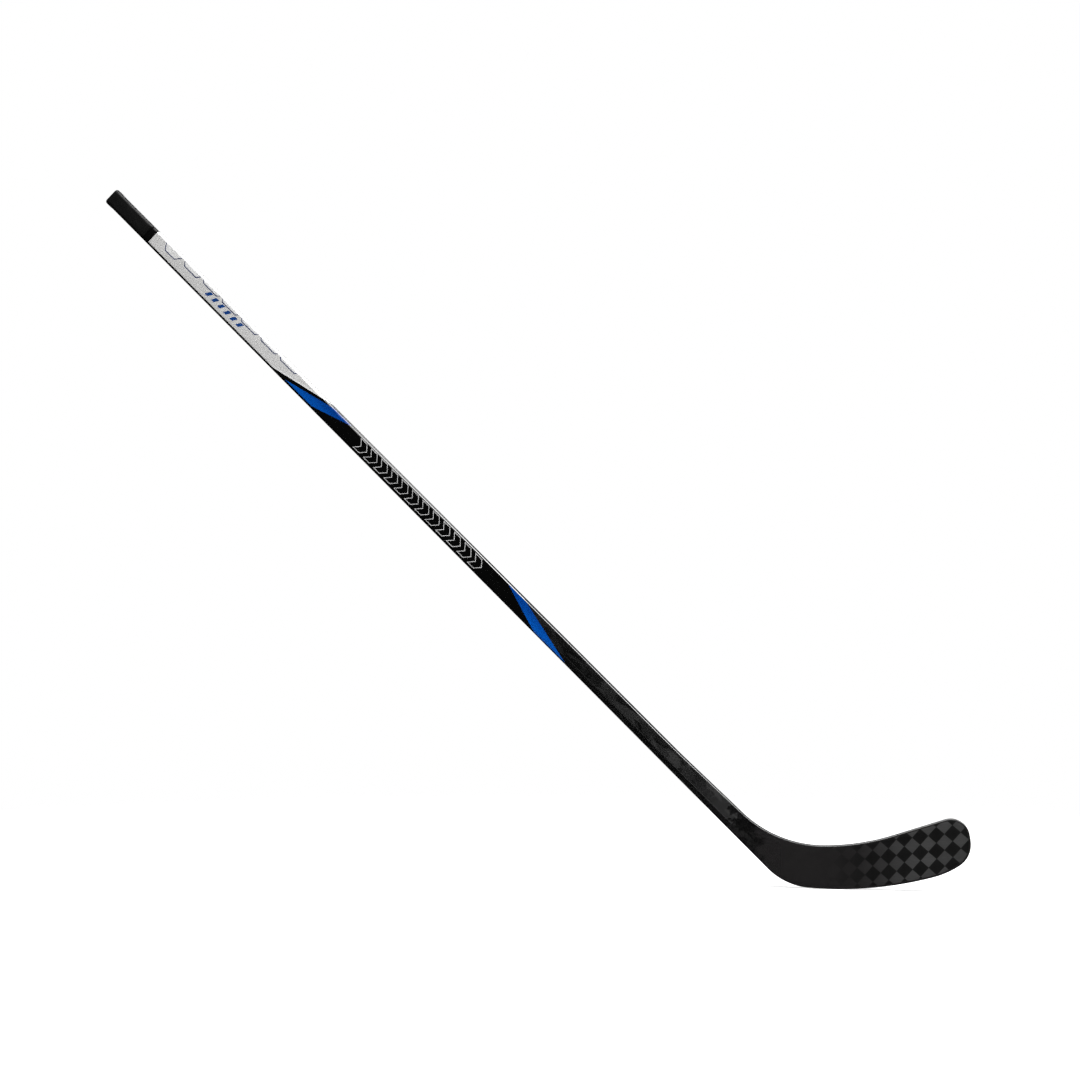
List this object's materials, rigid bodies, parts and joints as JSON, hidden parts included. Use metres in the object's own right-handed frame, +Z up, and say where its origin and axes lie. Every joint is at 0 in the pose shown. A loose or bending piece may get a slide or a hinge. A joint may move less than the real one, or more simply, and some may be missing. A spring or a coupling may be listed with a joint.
{
  "type": "ice hockey stick",
  "caption": "One-piece carbon ice hockey stick with a hollow rectangular shaft, a curved blade with a chequered toe, and a slip-on rubber butt cap.",
  "frame": {"origin": "the sole's lowest point, midway through the heel end of the blade, with the sole standing on the ice", "axes": "+X from heel to toe, +Z up, +Y towards the backhand side; the shaft leans back at 45 degrees towards -X and the forehand face looks along -Y"},
  "size_m": [1.3586, 0.0324, 1.1222],
  "materials": {
    "cap_rubber": "matte",
    "band_rubber": "matte",
    "plug": "sanded",
    "adhesive": "cured epoxy",
    "laminate": "carbon laminate",
    "grey_print": "satin print",
    "black_print": "gloss print",
    "white_print": "satin print",
    "blue_print": "gloss print",
    "emblem_print": "satin print",
    "upper_motif_print": "satin print",
    "lower_motif_print": "gloss print",
    "cover_carbon": "satin clear coat over carbon",
    "hosel_carbon": "satin clear coat over carbon",
    "blade_carbon": "satin clear coat over spread-tow carbon",
    "foam": "cut foam",
    "bead_resin": "satin resin"
  },
  "bodies": {
    "stick": {"end_plug": "plug", "plug_adhesive": "adhesive", "shaft_tube": "laminate", "grey_film": "grey_print", "black_film": "black_print", "white_film": "white_print", "upper_flash": "blue_print", "lower_flash": "blue_print", "emblem": "emblem_print", "upper_motif": "upper_motif_print", "lower_motif": "lower_motif_print", "upper_cover": "cover_carbon", "lower_cover": "cover_carbon", "hosel_wrap": "hosel_carbon", "blade_neck": "laminate", "tenon_adhesive": "adhesive", "forehand_ply": "blade_carbon", "backhand_ply": "blade_carbon", "forehand_skin": "laminate", "backhand_skin": "laminate", "upper_core": "foam", "lower_core": "foam", "core_rib": "laminate", "top_bead": "bead_resin", "sole_bead": "bead_resin", "toe_bead": "bead_resin"},
    "butt_cap": {"butt_cap": "cap_rubber", "cap_band": "band_rubber"}
  },
  "joints": [
    {"name": "cap_pull", "type": "slide", "parent": "stick", "child": "butt_cap", "axis": [-0.7071, 0, 0.7071], "range_m": [0, 0.115]}
  ]
}
